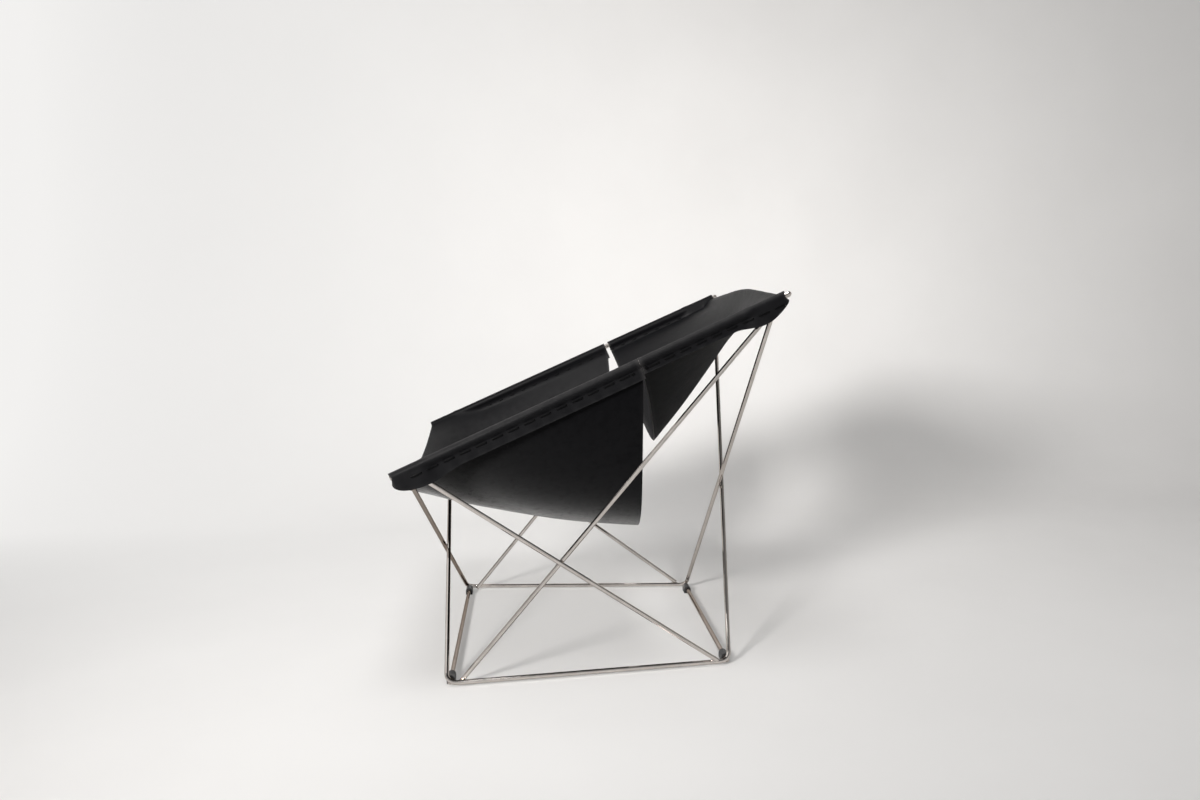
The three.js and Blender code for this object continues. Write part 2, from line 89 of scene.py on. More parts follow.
def clamp01(t):
    return min(1.0, max(0.0, t))


def smooth(t):
    t = clamp01(t)
    return t * t * (3 - 2 * t)


def bow(v):
    """0 at both ends of a span and 1 in its middle."""
    return 4 * v * (1 - v)


def beside(side, along, inward=0.0, down=0.0):
    """Point beside a rail: distance from its front end, inward and down square to it."""
    p = RAIL_FRONT.lerp(RAIL_REAR, along / RAIL_LENGTH)
    return Vector((side * (p.x - inward), p.y, p.z)) + RAIL_DOWN * down


# Materials
class Nodes:
    """A node tree under construction, of a material or of the world."""

    MIX_FACTOR, MIX_A, MIX_B, MIX_RESULT = 0, 6, 7, 2

    def __init__(self, owner, shader="Principled BSDF", coords="Object"):
        self.owner = owner
        owner.use_nodes = True
        self.tree = owner.node_tree
        self.shader = self.tree.nodes[shader]
        self.coords = self.tree.nodes.new("ShaderNodeTexCoord").outputs[coords]

    def add(self, kind, **settings):
        node = self.tree.nodes.new("ShaderNode" + kind)
        for key, value in settings.items():
            setattr(node, key, value)
        return node

    def link(self, source, target):
        self.tree.links.new(source, target)

    def feed(self, socket, value):
        if hasattr(value, "is_output"):
            self.link(value, socket)
        else:
            socket.default_value = value

    def math(self, operation, a, b=0.0, c=0.0):
        node = self.add("Math", operation=operation)
        for socket, value in zip(node.inputs, (a, b, c)):
            self.feed(socket, value)
        return node.outputs[0]

    def weigh(self, *pairs):
        """Sum of values times their weights."""
        total = None
        for value, weight in pairs:
            term = self.math("MULTIPLY", value, weight)
            total = term if total is None else self.math("ADD", total, term)
        return total

    def noise(self, scale, detail, rough, output="Fac"):
        node = self.add("TexNoise")
        self.link(self.coords, node.inputs["Vector"])
        node.inputs["Scale"].default_value = scale
        node.inputs["Detail"].default_value = detail
        node.inputs["Roughness"].default_value = rough
        return node.outputs[output]

    def cells(self, scale, vector):
        """Distance to the nearest border between cells."""
        node = self.add("TexVoronoi", feature="DISTANCE_TO_EDGE")
        self.link(vector, node.inputs["Vector"])
        node.inputs["Scale"].default_value = scale
        return node.outputs["Distance"]

    def ramp(self, value, *stops):
        """Colour ramp over (place, colour) or (place, grey) stops."""
        node = self.add("ValToRGB")
        elements = node.color_ramp.elements
        while len(elements) < len(stops):
            elements.new(0.5)
        for element, (place, colour) in zip(elements, stops):
            element.position = place
            grey = isinstance(colour, (int, float))
            element.color = (colour, colour, colour, 1) if grey else (*colour, 1)
        self.link(value, node.inputs["Fac"])
        return node.outputs["Color"]

    def mix(self, factor, a, b, blend="MIX"):
        node = self.add("Mix", data_type="RGBA", blend_type=blend)
        for place, value in ((self.MIX_FACTOR, factor), (self.MIX_A, a), (self.MIX_B, b)):
            if isinstance(value, tuple):
                value = (*value, 1)
            self.feed(node.inputs[place], value)
        return node.outputs[self.MIX_RESULT]

    def bump(self, height, distance, strength, normal=None):
        node = self.add("Bump")
        node.inputs["Strength"].default_value = strength
        node.inputs["Distance"].default_value = distance
        self.link(height, node.inputs["Height"])
        if normal:
            self.link(normal, node.inputs["Normal"])
        return node.outputs["Normal"]

    def parts(self, vector):
        node = self.add("SeparateXYZ")
        self.link(vector, node.inputs[0])
        return node.outputs

    def seen(self):
        """1 for the rays that show a surface to the eye, in metal or through glass."""
        rays = self.add("LightPath").outputs
        shown = self.math("MAXIMUM", rays["Is Camera Ray"], rays["Is Glossy Ray"])
        return self.math("MAXIMUM", shown, rays["Is Transmission Ray"])

    def attribute(self, name):
        return self.add("Attribute", attribute_name=name).outputs["Fac"]

    def set(self, **sockets):
        for name, value in sockets.items():
            self.feed(self.shader.inputs[name.replace("_", " ")], value)
        return self.owner


def new_nodes(name):
    return Nodes(bpy.data.materials.new(name))


def steel_material():
    """Bright plated steel that darkens to brown where it is seen edge on."""
    m = new_nodes("satin_nickel_steel")
    cloud = m.noise(scale=38, detail=4, rough=0.6)
    fine = m.noise(scale=420, detail=3, rough=0.5)
    tone = m.ramp(cloud, (0.3, (0.56, 0.52, 0.49)), (0.7, (0.66, 0.62, 0.585)))
    rough = m.ramp(m.weigh((cloud, 0.85), (fine, 0.15)), (0.35, 0.07), (0.7, 0.11))
    normal = m.bump(fine, distance=0.00003, strength=0.06)
    return m.set(Base_Color=tone, Metallic=1.0, Roughness=rough, Normal=normal,
                 Specular_Tint=(0.22, 0.17, 0.14, 1))


LEATHER_WARP = (0.0035, 0.0035, 0.0035)
WORN_ROUGHNESS = (0.36, 0.36, 0.36)
GRAIN_DEPTH = 0.00012


def leather_material(name, dark, light, rough, lustre, raw, smoothness=1.0, nap=0.0):
    """Creased, pebbled leather from a dark to a light tone, with painted shade in its creases and a raw
    tone on rubbed places and painted highlights.
    """
    m = new_nodes(name)
    warp = m.add("VectorMath", operation="MULTIPLY_ADD")
    m.link(m.noise(scale=160, detail=2, rough=0.5, output="Color"), warp.inputs[0])
    warp.inputs[1].default_value = LEATHER_WARP
    m.link(m.coords, warp.inputs[2])
    creases = m.cells(scale=620, vector=warp.outputs[0])
    pebbles = m.cells(scale=1500, vector=warp.outputs[0])
    pores = m.noise(scale=2600, detail=2, rough=0.6)
    cloud = m.noise(scale=14, detail=5, rough=0.6)
    patches = m.noise(scale=70, detail=4, rough=0.6)
    worn_and_lit = m.attribute("wear_and_light")
    tone = m.ramp(m.weigh((cloud, 0.6), (patches, 0.4)), (0.35, dark), (0.68, light))
    # Painted shade darkens the creases of the grain
    tone = m.mix(0.8, tone, m.ramp(creases, (0.0, 0.55), (0.12, 1.0)), blend="MULTIPLY")
    # The raw tone goes on rubbed places and on the painted highlights and painted light of the sleeves'
    # crowns and seating faces
    tone = m.mix(m.math("MULTIPLY", worn_and_lit, m.ramp(patches, (0.3, 0.55), (0.65, 1.0))), tone, raw)
    rough_low, rough_high = rough
    gloss = m.ramp(m.weigh((patches, 0.5), (pores, 0.5)), (0.3, rough_low), (0.7, rough_high))
    gloss = m.mix(m.math("MULTIPLY", worn_and_lit, 0.6), gloss, WORN_ROUGHNESS)
    crease_height = m.ramp(creases, (0.0, 0.0), (0.2, 1.0))
    pebble_height = m.ramp(pebbles, (0.0, 0.0), (0.25, 1.0))
    grain = m.weigh((crease_height, 0.55), (pebble_height, 0.3), (pores, 0.15))
    normal = m.bump(m.noise(scale=55, detail=3, rough=0.5), distance=0.0006, strength=0.35)
    normal = m.bump(grain, distance=GRAIN_DEPTH * smoothness, strength=0.55, normal=normal)
    return m.set(Base_Color=tone, Roughness=gloss, Normal=normal, Specular_IOR_Level=lustre,
                 Sheen_Weight=nap, Sheen_Roughness=0.34)


def edge_material():
    m = new_nodes("cut_leather_edge")
    fibres = m.noise(scale=900, detail=4, rough=0.7)
    cloud = m.noise(scale=40, detail=3, rough=0.5)
    tone = m.ramp(m.weigh((fibres, 0.5), (cloud, 0.5)),
                  (0.3, (0.016, 0.0145, 0.0135)), (0.7, (0.050, 0.046, 0.042)))
    rough = m.ramp(fibres, (0.3, 0.42), (0.7, 0.62))
    return m.set(Base_Color=tone, Roughness=rough, Normal=m.bump(fibres, distance=0.0002, strength=0.6))


def plastic_material():
    m = new_nodes("moulded_black_plastic")
    stipple = m.noise(scale=2400, detail=2, rough=0.5)
    scuffs = m.noise(scale=90, detail=5, rough=0.7)
    tone = m.ramp(scuffs, (0.4, (0.010, 0.010, 0.011)), (0.75, (0.030, 0.030, 0.031)))
    rough = m.ramp(scuffs, (0.35, 0.38), (0.7, 0.58))
    return m.set(Base_Color=tone, Roughness=rough, Normal=m.bump(stipple, distance=0.00008, strength=0.5))


STEEL = steel_material()
GRAIN_SIDE = leather_material(
    "black_grain_leather", dark=(0.0032, 0.0032, 0.0039), light=(0.0056, 0.0056, 0.0064),
    rough=(0.44, 0.56), lustre=0.08, raw=(0.036, 0.035, 0.0355))
SEAT_UNDERSIDE = leather_material(
    "black_burnished_leather", dark=(0.0014, 0.0014, 0.0019), light=(0.0028, 0.0028, 0.0035),
    rough=(0.22, 0.32), lustre=0.03, raw=(0.006, 0.006, 0.0066), smoothness=0.7, nap=0.36)
BACK_UNDERSIDE = leather_material(
    "black_matt_leather", dark=(0.0026, 0.0026, 0.0031), light=(0.0048, 0.0048, 0.0056),
    rough=(0.58, 0.70), lustre=0.03, raw=(0.006, 0.006, 0.0066), smoothness=0.7)
LACE_FACE = leather_material(
    "black_lace_leather", dark=(0.0010, 0.0010, 0.0013), light=(0.0024, 0.0024, 0.0027),
    rough=(0.34, 0.46), lustre=0.05, raw=(0.006, 0.006, 0.0062), smoothness=0.5)
LEATHER_EDGE = edge_material()
PLASTIC = plastic_material()


# Mesh helpers
def make_object(name, bm, material):
    mesh = bpy.data.meshes.new(name)
    bm.normal_update()
    bm.to_mesh(mesh)
    bm.free()
    for polygon in mesh.polygons:
        polygon.use_smooth = True
    mesh.materials.append(material)
    obj = bpy.data.objects.new(name, mesh)
    bpy.context.scene.collection.objects.link(obj)
    return obj


def add_grid(bm, rows, closed=False):
    """Quads over rows of points; closed joins each row's end to its start."""
    grid = [[bm.verts.new(p) for p in row] for row in rows]
    wide = len(grid[0])
    for a, b in zip(grid, grid[1:]):
        for i in range(wide if closed else wide - 1):
            k = (i + 1) % wide
            bm.faces.new((a[i], a[k], b[k], b[i]))
    return grid


def section_at(p, ahead, high, section):
    """A section of (across, high) pairs round a point of a path, square to the way ahead."""
    high = (high - ahead * high.dot(ahead)).normalized()
    across = ahead.cross(high)
    return [p + across * a + high * h for a, h in section]


def add_tube(bm, path, section, high):
    """A closed sweep of a section along a path."""
    rows = []
    for i, p in enumerate(path):
        ahead = (path[min(i + 1, len(path) - 1)] - path[max(i - 1, 0)]).normalized()
        rows.append(section_at(p, ahead, high, section))
    grid = add_grid(bm, rows, closed=True)
    for row, flip in ((grid[0], True), (grid[-1], False)):
        middle = bm.verts.new(sum((v.co for v in row), Vector()) / len(row))
        for i, v in enumerate(row):
            w = row[(i + 1) % len(row)]
            bm.faces.new((w, v, middle) if flip else (v, w, middle))


def join_points(bm):
    bmesh.ops.remove_doubles(bm, verts=bm.verts, dist=SAME_POINT)
    bmesh.ops.recalc_face_normals(bm, faces=bm.faces)


def soften_edges(obj, name, width, segments, angle):
    bevel = obj.modifiers.new(name, "BEVEL")
    bevel.width = width
    bevel.segments = segments
    bevel.limit_method = "ANGLE"
    bevel.angle_limit = math.radians(angle)


def circle_angles(count):
    return [2 * math.pi * i / count for i in range(count)]


def round_section(radius, count):
    return [(radius * math.cos(a), radius * math.sin(a)) for a in circle_angles(count)]


STRAP_POINTS = 16
STRAP_ACROSS_POWER = 0.55
STRAP_HIGH_POWER = 0.7


def strap_section(width, thickness):
    """A flat lace with rounded edges."""
    points = []
    for a in circle_angles(STRAP_POINTS):
        c, s = math.cos(a), math.sin(a)
        across = width / 2 * math.copysign(abs(c) ** STRAP_ACROSS_POWER, c)
        high = thickness / 2 * math.copysign(abs(s) ** STRAP_HIGH_POWER, s)
        points.append((across, high))
    return points


def polyline_length(points):
    return sum((b - a).length for a, b in zip(points, points[1:]))


def spaced(points, step):
    """Points at an even spacing along a polyline."""
    out = [points[0]]
    for a, b in zip(points, points[1:]):
        count = max(1, round((b - a).length / step))
        out += [a.lerp(b, i / count) for i in range(1, count + 1)]
    return out


def softened(points, reach):
    """Running average that keeps both ends in place."""
    total = len(points)
    out = []
    for i in range(total):
        half = min(reach, i, total - 1 - i)
        window = points[i - half:i + half + 1]
        out.append(sum(window, Vector((0, 0, 0))) / len(window))
    return out


def resampled(points, count):
    """The same polyline in a number of equal steps."""
    lengths = [0.0]
    for a, b in zip(points, points[1:]):
        lengths.append(lengths[-1] + (b - a).length)
    out = []
    k = 0
    for i in range(count + 1):
        target = lengths[-1] * i / count
        while k < len(points) - 2 and lengths[k + 1] < target:
            k += 1
        span = max(SHORTEST, lengths[k + 1] - lengths[k])
        out.append(points[k].lerp(points[k + 1], clamp01((target - lengths[k]) / span)))
    return out


# Slings: where the inner layer closes below the rail or rises past a brace, by side of the chair
SEAT_CLOSING_START = {1: 0.034, -1: 0.046}
SEAT_CLOSING_RUN = 0.085
BACK_RISING_START = {1: 0.030, -1: 0.007}
BACK_RISING_RUN = 0.028
BACK_CLOSING_START = 0.058
BACK_CLOSING_RUN = 0.030
TAB_ROUNDNESS = 1.5
LACE_MARGIN = 0.006


class Sling:
    """Form of a sling; e is the distance from its outer end, v the place between lower and upper end."""

    def __init__(self, name, length, opening, lace_start, flap, tab, leave, along, depth, trough, sag):
        self.name = name
        self.length = length
        self.opening = opening
        self.lace_start = lace_start
        self.flap = flap
        self.tab = tab
        self.leave = leave
        self.along = along
        self.depth = depth
        self.trough = trough
        self.sag = sag

    def shut(self, e):
        return smooth((e - self.opening) / CLOSING_LENGTH)

    def inner_states(self, side, e):
        """Shares of the inner layer's states: open over the joints, hanging past a brace, closed."""
        if self.name == "seat":
            closed = smooth((e - SEAT_CLOSING_START[side]) / SEAT_CLOSING_RUN)
            return 1 - closed, 0.0, closed
        risen = smooth((e - BACK_RISING_START[side]) / BACK_RISING_RUN)
        closed = smooth((e - BACK_CLOSING_START) / BACK_CLOSING_RUN)
        return 1 - risen, risen * (1 - closed), risen * closed

    def flap_in(self, e):
        return lerp(WRAP_RADIUS, SEAM_OFFSET, self.shut(e))

    def flap_depth(self, e):
        """How far the outer flap hangs, with its tab and its rounded corner."""
        drop, length, corner, rise = self.tab
        tab = math.sin(math.pi * e / length) ** TAB_ROUNDNESS if 0 < e < length else 0.0
        cut = max(0.0, 1 - e / corner)
        return self.flap + drop * tab - rise * (1 - math.sqrt(max(0.0, 1 - cut * cut)))

    def dashes(self):
        """Start and end of each stitch that shows on the flap."""
        places = []
        e = self.lace_start
        while e + LACE_DASH < self.length - LACE_MARGIN + ROUNDING:
            places.append((e, e + LACE_DASH))
            e += LACE_PITCH
        return places


# Lowest line of each sling from its rail line, at the lower and the upper end, and its bow between
SEAT_TROUGH_BACK = (-0.008, 0.020)
SEAT_TROUGH_DROP = (0.0535, 0.322)
SEAT_TROUGH_BOW = 0.016
SEAT_SAG_POWER = (3.1, 4.0)
BACK_TROUGH_BACK = (0.058, 0.004)
BACK_TROUGH_BACK_BOW = 0.032
BACK_TROUGH_RISE = (-0.177, 0.015)
BACK_TROUGH_RISE_BOW = 0.020
BACK_SAG_ROUNDNESS = (0.18, 0.20)


def seat_trough(v):
    return lerp(*SEAT_TROUGH_BACK, v), -lerp(*SEAT_TROUGH_DROP, v) - SEAT_TROUGH_BOW * bow(v)


def seat_sag(v, w):
    return 1 - (1 - w) ** lerp(*SEAT_SAG_POWER, v)


def back_trough(v):
    back = lerp(*BACK_TROUGH_BACK, v) + BACK_TROUGH_BACK_BOW * bow(v)
    return back, lerp(*BACK_TROUGH_RISE, v) + BACK_TROUGH_RISE_BOW * bow(v)


def back_sag(v, w):
    k = lerp(*BACK_SAG_ROUNDNESS, v)
    return 1 - (math.hypot(k, 1 - w) - k) / (math.hypot(k, 1) - k)


def seat_along(e):
    return e


def seat_depth(e):
    return e / SEAT_LENGTH


def back_along(e):
    return BACK_START + BACK_LENGTH - e


def back_depth(e):
    return 1 - e / BACK_LENGTH


# A leave: the inner layer's angle on the wrap where it leaves it, its run on, and its way inward and down
HANGING_LEAVE = (math.pi / 12, 0.004, 0.0096, 0.014)
SEAT = Sling("seat", length=SEAT_LENGTH, opening=0.051, lace_start=0.032, flap=0.028,
             tab=(0.007, 0.115, 0.028, 0.015), leave=(0.15, 0.0008, 0.0088, 0.0014),
             along=seat_along, depth=seat_depth, trough=seat_trough, sag=seat_sag)
BACK = Sling("back", length=BACK_LENGTH, opening=0.057, lace_start=0.009, flap=0.0205,
             tab=(0.0095, 0.100, 0.050, 0.0115), leave=(math.pi / 6, 0.0023, 0.0098, 0.0024),
             along=back_along, depth=back_depth, trough=back_trough, sag=back_sag)

FLAP_POINTS = 14
WRAP_POINTS = 20
FALL_POINTS = 46
ARC_STEPS = 24
SAG_STEPS = 60
SAG_CROWDING = 1.25
POINT_STEP = 0.0004
SOFTENING = 5
TURN_BELOW_LACE = 0.0024
CLOSING_SWELL = 0.35


def half_section(sling, side, e):
    """Middle of the leather on one side, from the hanging flap's edge to the trough."""
    shut = sling.shut(e)
    v = sling.depth(e)
    along = sling.along(e)
    flap_in = sling.flap_in(e)
    meet = WRAP_RADIUS * math.sqrt(2) - SEAM_OFFSET
    turn = LACE_ROW + LACE_WIDTH / 2 + TURN_BELOW_LACE
    closed_run = (meet - WRAP_RADIUS * math.sqrt(0.5)) * math.sqrt(2)
    closed_leave = (-math.pi / 4, closed_run, SEAM_OFFSET, turn)
    states = sling.inner_states(side, e)
    leaves = zip(sling.leave, HANGING_LEAVE, closed_leave)
    last, run, start_in, start_down = [sum(s * x for s, x in zip(states, values)) for values in leaves]
    first = math.pi * (1 + shut / 4)
    wrap = WRAP_RADIUS * (1 + CLOSING_SWELL * shut * (1 - shut))

    def off_wrap(angle, distance=0.0):
        c, s = math.cos(angle), math.sin(angle)
        return wrap * c + distance * s, -wrap * s + distance * c

    def placed(pairs):
        return [beside(side, along, *pair) for pair in pairs]

    flap = [(-flap_in, sling.flap_depth(e)), (-flap_in, meet), off_wrap(first)]
    arc = [off_wrap(lerp(first, last, i / ARC_STEPS)) for i in range(ARC_STEPS + 1)]
    fall = [arc[-1], off_wrap(last, run), (start_in, start_down)]
    drop_y, drop_z = sling.trough(v)
    rail = beside(side, along)
    sag = []
    for i in range(1, SAG_STEPS + 1):
        w = (i / SAG_STEPS) ** SAG_CROWDING
        h = sling.sag(v, w)
        p = rail + RAIL_DOWN * (start_down * (1 - h))
        p.x = (rail.x - side * start_in) * (1 - w)
        sag.append(p + Vector((0, drop_y * h, drop_z * h)))
    whole = spaced(placed(flap), POINT_STEP)
    flap_end = len(whole) - 1
    whole += spaced(placed(arc), POINT_STEP)[1:]
    wrap_end = len(whole) - 1
    whole += spaced(placed(fall) + sag, POINT_STEP)[1:]
    whole = softened(whole, SOFTENING)
    return (resampled(whole[:flap_end + 1], FLAP_POINTS)
            + resampled(whole[flap_end:wrap_end + 1], WRAP_POINTS)[1:]
            + resampled(whole[wrap_end:], FALL_POINTS)[1:])


END_STATIONS = (0, 0.0004, 0.001, 0.002, 0.0036, 0.0058, 0.0085, 0.012, 0.016, 0.020, 0.024, 0.028)
END_LENGTH = 0.030
EVEN_START = 0.032
EVEN_STEP = 0.0048
LAST_STEP = 0.0015


def stations(sling):
    """Places of a sling's cross sections, closer together at its outer end."""
    count = round((sling.length - END_LENGTH) / EVEN_STEP)
    even = [lerp(EVEN_START, sling.length - LAST_STEP, i / count) for i in range(count + 1)]
    return [*END_STATIONS, *even, sling.length]


PUCKER_DEPTH = 0.00045
PUCKER_WIDTH = 0.0028


def pucker(sling, e, depth):
    """How far the lace draws the flap in at a depth below the rail."""
    near = math.exp(-((depth - LACE_ROW) / PUCKER_WIDTH) ** 2)
    for start, end in sling.dashes():
        if start <= e <= end:
            return PUCKER_DEPTH * near * math.sqrt(abs(math.sin(math.pi * (e - start) / LACE_DASH)))
    return 0.0


# Slow unevenness of the leather: size and amount
SLEEVE_WANDER = (0.045, 0.00014)
PANEL_WANDER = (0.11, 0.0011)
PANEL_RIPPLE = (0.035, 0.0003)
PANEL_WANDER_START = 6
PANEL_WANDER_RUN = 20
FLAP_WAVE = 0.0007
FLAP_TOP_ABOVE_LACE = 0.004
# The sleeve's outer end is drawn in between the flap's edge and the top of the wrap
BITE_DEPTH = 0.0028
BITE_REACH = 0.014
BITE_START = FLAP_POINTS * 0.2
BITE_LENGTH = FLAP_POINTS + WRAP_POINTS * 0.35
# The left sleeves creep towards each other at their inner ends
NEAR_CREEP = 0.0041
CREEP_REACH = 0.03
CREEP_FADE = 20


def wander(p, size, amount):
    return amount * noise.noise(p / size)


def sling_rows(sling):
    """Rows of points across the sling, each from the left flap's edge to the right one's."""
    rows = []
    inwards = RAIL_RUN if sling is SEAT else -RAIL_RUN
    for e in stations(sling):
        row = []
        wave = FLAP_WAVE * math.sin(2 * math.pi * (e - sling.lace_start) / LACE_PITCH)
        creep = NEAR_CREEP * (max(0.0, e - sling.length + CREEP_REACH) / CREEP_REACH) ** 2
        for side, _ in SIDES:
            half = half_section(sling, side, e)
            outward = Vector((side, 0, 0))
            for i, p in enumerate(half):
                past_wrap = i - FLAP_POINTS - WRAP_POINTS
                if i <= FLAP_POINTS:
                    depth = lerp(sling.flap_depth(e), LACE_ROW - FLAP_TOP_ABOVE_LACE, i / FLAP_POINTS)
                    p += outward * (wave * (1 - i / FLAP_POINTS) ** 2 - pucker(sling, e, depth))
                if past_wrap <= 0 and e < BITE_REACH:
                    place = clamp01((i - BITE_START) / BITE_LENGTH)
                    bite = BITE_DEPTH * math.sin(math.pi * place) * (1 - e / BITE_REACH) ** 2
                    p += Vector((side * inwards.x, inwards.y, inwards.z)) * bite
                if side > 0:
                    p += inwards * creep * (1 - smooth(past_wrap / CREEP_FADE))
                fall = clamp01((past_wrap - PANEL_WANDER_START) / PANEL_WANDER_RUN)
                p += outward * wander(p, *SLEEVE_WANDER)
                p += UP * (fall * (wander(p, *PANEL_WANDER) + wander(p, *PANEL_RIPPLE)))
            row += half if side > 0 else half[-2::-1]
        rows.append(row)
    return rows


# Wear at the cut ends and the flaps' edges, painted highlight with wear along the crown of the sleeves,
# and painted light with wear on the seating faces
END_WEAR = 0.7
END_WEAR_REACH = 0.004
FLAP_WEAR = 0.2
FLAP_WEAR_POINTS = 2.2
# Painted highlight along the crown of the sleeves, together with rubbed wear
CROWN_HIGHLIGHT_AND_WEAR = 0.55
CROWN_PLACE = 0.42
CROWN_POINTS = 3.4
# Painted light on the seating faces, which face the lamps, together with rubbed wear
SEATING_LIGHT_AND_WEAR = {"seat": 0.30, "back": 0.12}
SEATING_FADE = 8


def sling_wear_and_light(sling, e, k):
    """Amount of rubbing and painted light at a distance from the outer end and a number of points in from
    the flap's edge.
    """
    edge_end = max(0.0, 1 - min(e, sling.length - e) / END_WEAR_REACH)
    edge_flap = max(0.0, 1 - k / FLAP_WEAR_POINTS)
    edges = max(END_WEAR * edge_end, FLAP_WEAR * edge_flap)
    # Painted highlight along the crown of the sleeve, together with rubbed wear
    crown = math.exp(-((k - FLAP_POINTS - WRAP_POINTS * CROWN_PLACE) / CROWN_POINTS) ** 2)
    # Painted light lightens the seating faces, which face the lamps, together with rubbed wear
    seating = smooth((k - FLAP_POINTS - WRAP_POINTS) / SEATING_FADE)
    return clamp01(edges + CROWN_HIGHLIGHT_AND_WEAR * crown + SEATING_LIGHT_AND_WEAR[sling.name] * seating)


def build_sling(sling):
    """The leather, and its flat width and length."""
    bm = bmesh.new()
    rows = sling_rows(sling)
    add_grid(bm, rows)
    wear_and_light = bm.verts.layers.float.new("wear_and_light")
    bm.verts.ensure_lookup_table()
    wide = len(rows[0])
    for j, e in enumerate(stations(sling)):
        for i in range(wide):
            bm.verts[j * wide + i][wear_and_light] = sling_wear_and_light(sling, e, min(i, wide - 1 - i))
    obj = make_object(f"{sling.name}_sling_leather", bm, GRAIN_SIDE)
    if obj.data.polygons[len(obj.data.polygons) // 2].normal.z < 0:
        obj.data.flip_normals()
    obj.data.materials.append(LEATHER_EDGE)
    obj.data.materials.append(SEAT_UNDERSIDE if sling is SEAT else BACK_UNDERSIDE)
    shell = obj.modifiers.new("thickness", "SOLIDIFY")
    shell.thickness = LEATHER
    shell.offset = 0
    shell.use_even_offset = True
    shell.material_offset = 2
    shell.material_offset_rim = 1
    soften_edges(obj, "rounded_edges", width=0.0005, segments=2, angle=60)
    width = max(polyline_length(row) for row in rows)
    length = max(polyline_length(column) for column in zip(*rows))
    return obj, width, length


# Laces in running stitch with a knot at the inner end
LACE_STEP = 0.00045
LACE_GAP = 0.0001
LACE_STAND_OFF = 0.0002
LACE_CROWN = 0.0003
LACE_LEAD = 0.005
LACE_TAIL = 0.0045
STITCH_RAMP = 0.0011
CLOSED_SHARE = 0.97
KNOT_STEPS = 72
KNOT_SIZE = 0.0027
KNOT_HEIGHT_SHARE = 0.8
KNOT_DEPTH_SHARE = 0.32
KNOT_CORD = 0.00075
KNOT_CORD_POINTS = 8
KNOT_PAST_STITCH = 0.0048
KNOT_STAND_OFF = 0.0011
KNOT_RUN_STEP = 0.001
LACE_WEAR = 0.25
LACE_WEAR_SWING = 0.5
LACE_WEAR_SIZE = 0.004


def lace_path(sling, side):
    half = LEATHER / 2 + LACE_THICKNESS / 2 + LACE_GAP

    def outer(e):
        return -sling.flap_in(e) - half - LACE_STAND_OFF

    def inner(e):
        closed = sling.inner_states(side, e)[2] > CLOSED_SHARE
        return SEAM_OFFSET + half if closed else half - sling.flap_in(e)

    dashes = sling.dashes()
    points = []
    e = dashes[0][0] - LACE_LEAD
    last = dashes[-1][1] + LACE_TAIL
    while e < last + ROUNDING:
        out = 0.0
        crown = 0.0
        for start, end in dashes:
            risen = smooth((e - start + STITCH_RAMP) / (2 * STITCH_RAMP))
            out = max(out, risen * smooth((end - e + STITCH_RAMP) / (2 * STITCH_RAMP)))
            if start < e < end:
                crown = LACE_CROWN * math.sin(math.pi * (e - start) / LACE_DASH)
        points.append(beside(side, sling.along(e), lerp(inner(e), outer(e) - crown, out), LACE_ROW))
        e += LACE_STEP
    return points


def knot_path(centre, along, down, out):
    """A small overhand knot, flattened against the leather."""
    points = []
    for i in range(KNOT_STEPS + 1):
        t = 2 * math.pi * i / KNOT_STEPS
        r = 2 + math.cos(3 * t)
        a = r * math.cos(2 * t) / 3 * KNOT_SIZE
        b = r * math.sin(2 * t) / 3 * KNOT_SIZE * KNOT_HEIGHT_SHARE
        c = math.sin(3 * t) * KNOT_SIZE * KNOT_DEPTH_SHARE
        points.append(centre + along * a + down * b + out * c)
    return points


def build_lace(sling, side, name):
    bm = bmesh.new()
    outward = Vector((side, 0, 0))
    add_tube(bm, lace_path(sling, side), strap_section(LACE_WIDTH, LACE_THICKNESS), outward)
    e = sling.dashes()[-1][1] + KNOT_PAST_STITCH
    ahead_of_knot = beside(side, sling.along(e + KNOT_RUN_STEP))
    run = (ahead_of_knot - beside(side, sling.along(e))).normalized()
    centre = beside(side, sling.along(e), -sling.flap_in(e) - LEATHER / 2 - KNOT_STAND_OFF, LACE_ROW)
    knot = knot_path(centre, run, RAIL_DOWN, outward)
    cord = round_section(KNOT_CORD, KNOT_CORD_POINTS)
    rows = []
    for i in range(KNOT_STEPS):
        ahead = (knot[(i + 1) % KNOT_STEPS] - knot[i - 1]).normalized()
        rows.append(section_at(knot[i], ahead, outward, cord))
    rows.append(rows[0])
    add_grid(bm, rows, closed=True)
    join_points(bm)
    wear_and_light = bm.verts.layers.float.new("wear_and_light")
    for v in bm.verts:
        v[wear_and_light] = clamp01(LACE_WEAR + LACE_WEAR_SWING * noise.noise(v.co / LACE_WEAR_SIZE))
    return make_object(name, bm, LACE_FACE)


for sling in (SEAT, BACK):
    obj, width, length = build_sling(sling)
    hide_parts(f"{sling.name}_sling")
    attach(obj, "root")
    for side, hand in SIDES:
        lace = build_lace(sling, side, f"{sling.name}_{hand}_laced_thong")
        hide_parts(f"{sling.name}_{hand}_lace")
        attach(lace, "root")


# Frame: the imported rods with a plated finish, the glides, and a smooth weld at each visible joint
SHARP_EDGE_ANGLE = math.radians(38)


def dress(node, material):
    obj = nodes[node]
    obj.data.materials.clear()
    obj.data.materials.append(material)
    for polygon in obj.data.polygons:
        polygon.use_smooth = True
    obj.data.set_sharp_from_angle(angle=SHARP_EDGE_ANGLE)


for node in nodes:
    if node.endswith(("_rod", "_rail", "_brace", "_bar")):
        dress(node, STEEL)
    if node.endswith("_glide"):
        dress(node, PLASTIC)
        soften_edges(nodes[node], "soft_edges", width=0.0009, segments=3, angle=50)

